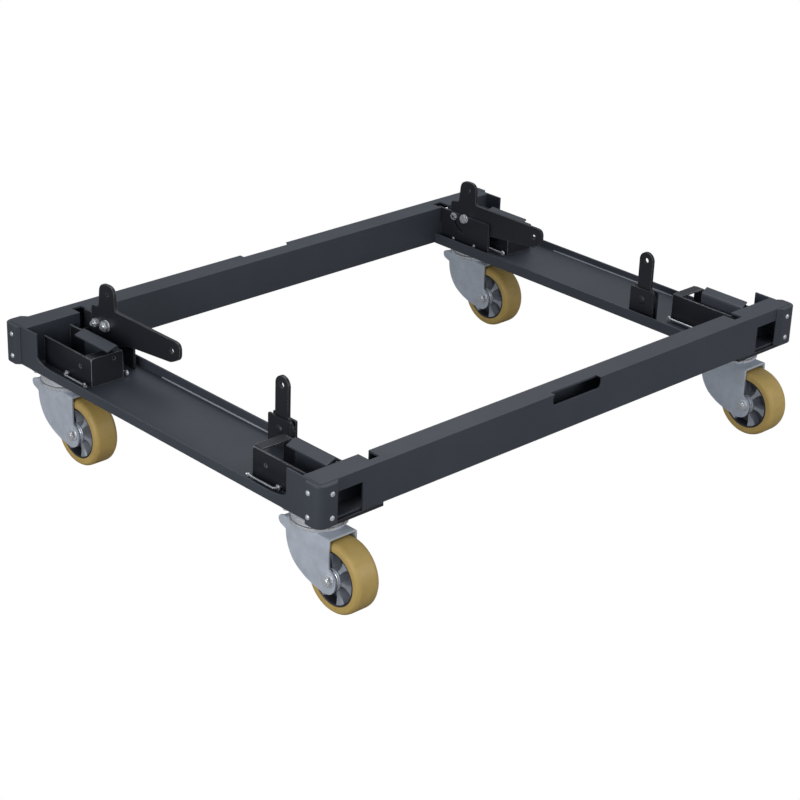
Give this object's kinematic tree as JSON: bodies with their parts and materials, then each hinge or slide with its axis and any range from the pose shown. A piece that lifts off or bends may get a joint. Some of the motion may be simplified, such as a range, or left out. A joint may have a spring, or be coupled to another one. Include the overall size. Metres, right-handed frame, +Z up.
{
  "type": "transport dolly",
  "caption": "Low rectangular steel transport dolly on swivel castors, with folding link tabs and swing links that pin to the cabinet carried on it.",
  "frame": {"origin": "centre of the whole object's bounding box at rest, on the floor under the wheels", "axes": "+X along the two beams, -Y the front with the folding link tabs, +Z up"},
  "size_m": [1.2134, 0.9114, 0.3237],
  "materials": {
    "frame_paint": "satin black powder coat with a blue cast",
    "dark_paint": "satin black paint",
    "zinc": "bright zinc plate",
    "fork_zinc": "pressed steel, satin zinc plate",
    "wheel_core": "die cast, grey",
    "tyre": "moulded mustard polyurethane, satin"
  },
  "bodies": {
    "frame": {"front_beam": "frame_paint", "rear_beam": "frame_paint", "left_tray": "frame_paint", "right_tray": "frame_paint", "rear_left_link_wall_plate": "dark_paint", "rear_left_pivot_bolt": "zinc", "front_left_tab_clevis": "dark_paint", "front_left_tab_pin": "dark_paint", "front_left_corner_cap": "frame_paint", "front_left_step_plate": "dark_paint", "front_left_box_bracket": "dark_paint", "front_left_guide_plate": "frame_paint", "front_left_castor_base": "zinc", "rear_left_corner_cap": "frame_paint", "rear_left_step_plate": "dark_paint", "rear_left_box_bracket": "dark_paint", "rear_left_guide_plate": "frame_paint", "rear_left_castor_base": "zinc", "rear_right_link_wall_plate": "dark_paint", "rear_right_pivot_bolt": "zinc", "front_right_tab_clevis": "dark_paint", "front_right_tab_pin": "dark_paint", "front_right_corner_cap": "frame_paint", "front_right_step_plate": "dark_paint", "front_right_box_bracket": "dark_paint", "front_right_guide_plate": "frame_paint", "front_right_castor_base": "zinc", "rear_right_corner_cap": "frame_paint", "rear_right_step_plate": "dark_paint", "rear_right_box_bracket": "dark_paint", "rear_right_guide_plate": "frame_paint", "rear_right_castor_base": "zinc"},
    "rear_left_link": {"rear_left_swing_link": "dark_paint"},
    "front_left_tab": {"front_left_link_tab": "dark_paint"},
    "front_left_bail": {"front_left_bail": "zinc"},
    "front_left_castor": {"front_left_fork": "fork_zinc", "front_left_axle_bolt": "zinc", "front_left_axle_nut": "zinc"},
    "front_left_wheel": {"front_left_wheel_core": "wheel_core", "front_left_tyre": "tyre"},
    "rear_left_bail": {"rear_left_bail": "zinc"},
    "rear_left_castor": {"rear_left_fork": "fork_zinc", "rear_left_axle_bolt": "zinc", "rear_left_axle_nut": "zinc"},
    "rear_left_wheel": {"rear_left_wheel_core": "wheel_core", "rear_left_tyre": "tyre"},
    "rear_right_link": {"rear_right_swing_link": "dark_paint"},
    "front_right_tab": {"front_right_link_tab": "dark_paint"},
    "front_right_bail": {"front_right_bail": "zinc"},
    "front_right_castor": {"front_right_fork": "fork_zinc", "front_right_axle_bolt": "zinc", "front_right_axle_nut": "zinc"},
    "front_right_wheel": {"front_right_wheel_core": "wheel_core", "front_right_tyre": "tyre"},
    "rear_right_bail": {"rear_right_bail": "zinc"},
    "rear_right_castor": {"rear_right_fork": "fork_zinc", "rear_right_axle_bolt": "zinc", "rear_right_axle_nut": "zinc"},
    "rear_right_wheel": {"rear_right_wheel_core": "wheel_core", "rear_right_tyre": "tyre"}
  },
  "joints": [
    {"name": "rear_left_link_swing", "type": "hinge", "parent": "frame", "child": "rear_left_link", "pos_m": [-0.461, 0.3298, 0.2443], "axis": [-1, 0, 0], "range_deg": [0, 75]},
    {"name": "front_left_tab_fold", "type": "hinge", "parent": "frame", "child": "front_left_tab", "pos_m": [-0.461, -0.1587, 0.2175], "axis": [1, 0, 0], "range_deg": [0, 90]},
    {"name": "front_left_bail_swing", "type": "hinge", "parent": "frame", "child": "front_left_bail", "pos_m": [-0.5295, -0.2727, 0.1857], "axis": [1, 0, 0], "range_deg": [0, 100]},
    {"name": "front_left_swivel", "type": "hinge", "parent": "frame", "child": "front_left_castor", "pos_m": [-0.5295, -0.3302, 0.1455], "axis": [0, 0, 1], "continuous": true},
    {"name": "front_left_wheel_spin", "type": "hinge", "parent": "front_left_castor", "child": "front_left_wheel", "pos_m": [-0.5295, -0.3922, 0.0635], "axis": [1, 0, 0], "continuous": true},
    {"name": "rear_left_bail_swing", "type": "hinge", "parent": "frame", "child": "rear_left_bail", "pos_m": [-0.5295, 0.3113, 0.1857], "axis": [-1, 0, 0], "range_deg": [0, 100]},
    {"name": "rear_left_swivel", "type": "hinge", "parent": "frame", "child": "rear_left_castor", "pos_m": [-0.5295, 0.3688, 0.1455], "axis": [0, 0, 1], "continuous": true},
    {"name": "rear_left_wheel_spin", "type": "hinge", "parent": "rear_left_castor", "child": "rear_left_wheel", "pos_m": [-0.5295, 0.3068, 0.0635], "axis": [1, 0, 0], "continuous": true},
    {"name": "rear_right_link_swing", "type": "hinge", "parent": "frame", "child": "rear_right_link", "pos_m": [0.461, 0.3298, 0.2443], "axis": [-1, 0, 0], "range_deg": [0, 75]},
    {"name": "front_right_tab_fold", "type": "hinge", "parent": "frame", "child": "front_right_tab", "pos_m": [0.461, -0.1587, 0.2175], "axis": [1, 0, 0], "range_deg": [0, 90]},
    {"name": "front_right_bail_swing", "type": "hinge", "parent": "frame", "child": "front_right_bail", "pos_m": [0.5295, -0.2727, 0.1857], "axis": [1, 0, 0], "range_deg": [0, 100]},
    {"name": "front_right_swivel", "type": "hinge", "parent": "frame", "child": "front_right_castor", "pos_m": [0.5295, -0.3302, 0.1455], "axis": [0, 0, 1], "continuous": true},
    {"name": "front_right_wheel_spin", "type": "hinge", "parent": "front_right_castor", "child": "front_right_wheel", "pos_m": [0.5295, -0.3922, 0.0635], "axis": [1, 0, 0], "continuous": true},
    {"name": "rear_right_bail_swing", "type": "hinge", "parent": "frame", "child": "rear_right_bail", "pos_m": [0.5295, 0.3113, 0.1857], "axis": [-1, 0, 0], "range_deg": [0, 100]},
    {"name": "rear_right_swivel", "type": "hinge", "parent": "frame", "child": "rear_right_castor", "pos_m": [0.5295, 0.3688, 0.1455], "axis": [0, 0, 1], "continuous": true},
    {"name": "rear_right_wheel_spin", "type": "hinge", "parent": "rear_right_castor", "child": "rear_right_wheel", "pos_m": [0.5295, 0.3068, 0.0635], "axis": [1, 0, 0], "continuous": true}
  ]
}
